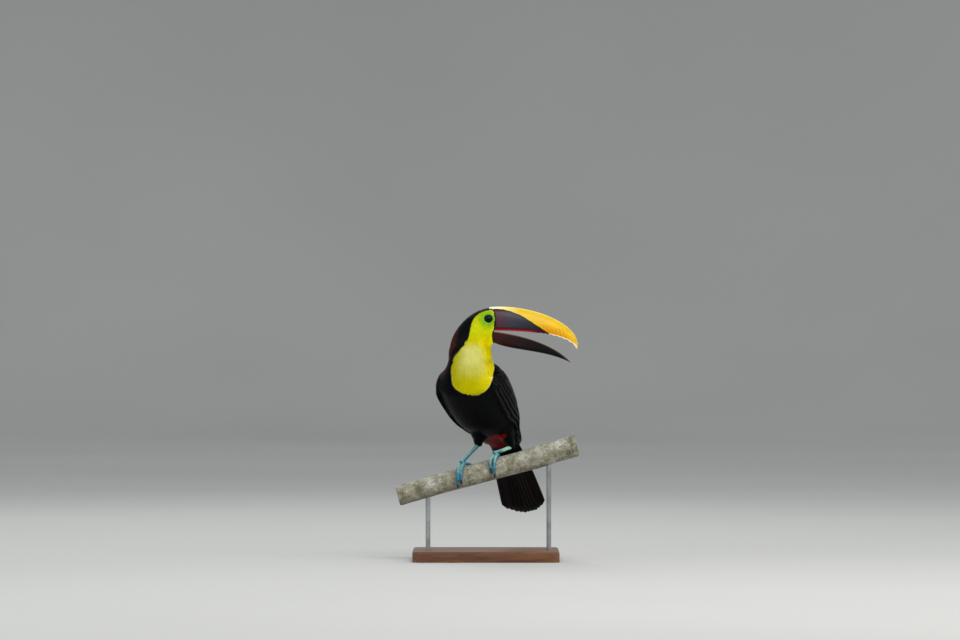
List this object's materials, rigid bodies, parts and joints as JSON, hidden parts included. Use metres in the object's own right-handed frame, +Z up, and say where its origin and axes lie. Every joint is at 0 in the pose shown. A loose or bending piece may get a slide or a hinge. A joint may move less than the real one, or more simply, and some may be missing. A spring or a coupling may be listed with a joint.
{
  "type": "perched yellow-throated toucan model",
  "caption": "Life-size still toucan, upright, looking over its left shoulder with its bill open, gripping a short cut branch held by rods on a flat base.",
  "frame": {"origin": "middle of the display base's underside, on the floor", "axes": "+Z up; +X along the base and up the sloping perch, the way the bill points; -Y to the front of the base, which the bird's breast roughly faces"},
  "size_m": [0.3142, 0.2123, 0.4338],
  "materials": {
    "plumage_black": "glossy black feathers with a faint blue-brown sheen",
    "plumage_yellow": "silky golden-yellow feathers, pale cream over the throat",
    "plumage_chestnut": "dark maroon-chestnut feathers of the hind neck",
    "plumage_red": "deep red feathers under the tail",
    "plumage_cream": "creamy white feathers over the tail's root",
    "face_skin": "finely wrinkled bare yellow-green skin",
    "bill_upper": "smooth horn, yellow above a dark purple-maroon wedge",
    "bill_lower": "smooth horn, maroon at the base and black to the tip",
    "leg_skin": "scaly turquoise-blue skin",
    "claw_horn": "black horn",
    "eye": "wet near-black eye",
    "perch_bark": "pale grey-beige bark with lichen specks and ring scars",
    "perch_wood": "sawn end grain",
    "base_wood": "satin dark stained wood",
    "rod_steel": "brushed steel"
  },
  "bodies": {
    "root": {"head": "plumage_yellow", "neck": "plumage_yellow", "trunk": "plumage_black", "undertail_coverts": "plumage_red", "uppertail_coverts": "plumage_cream", "tail": "plumage_black", "wing_right": "plumage_black", "primaries_right": "plumage_black", "thigh_right": "plumage_black", "tarsus_right": "leg_skin", "toe_right_outer_front": "leg_skin", "claw_right_outer_front": "claw_horn", "toe_right_inner_front": "leg_skin", "claw_right_inner_front": "claw_horn", "toe_right_outer_back": "leg_skin", "claw_right_outer_back": "claw_horn", "toe_right_inner_back": "leg_skin", "claw_right_inner_back": "claw_horn", "eye_right": "eye", "wing_left": "plumage_black", "primaries_left": "plumage_black", "thigh_left": "plumage_black", "tarsus_left": "leg_skin", "toe_left_outer_front": "leg_skin", "claw_left_outer_front": "claw_horn", "toe_left_inner_front": "leg_skin", "claw_left_inner_front": "claw_horn", "toe_left_outer_back": "leg_skin", "claw_left_outer_back": "claw_horn", "toe_left_inner_back": "leg_skin", "claw_left_inner_back": "claw_horn", "eye_left": "eye", "bill_upper": "bill_upper", "bill_lower": "bill_lower", "perch_branch": "perch_bark", "stand_base": "base_wood", "stand_rod_1": "rod_steel", "stand_rod_2": "rod_steel"}
  },
  "joints": []
}
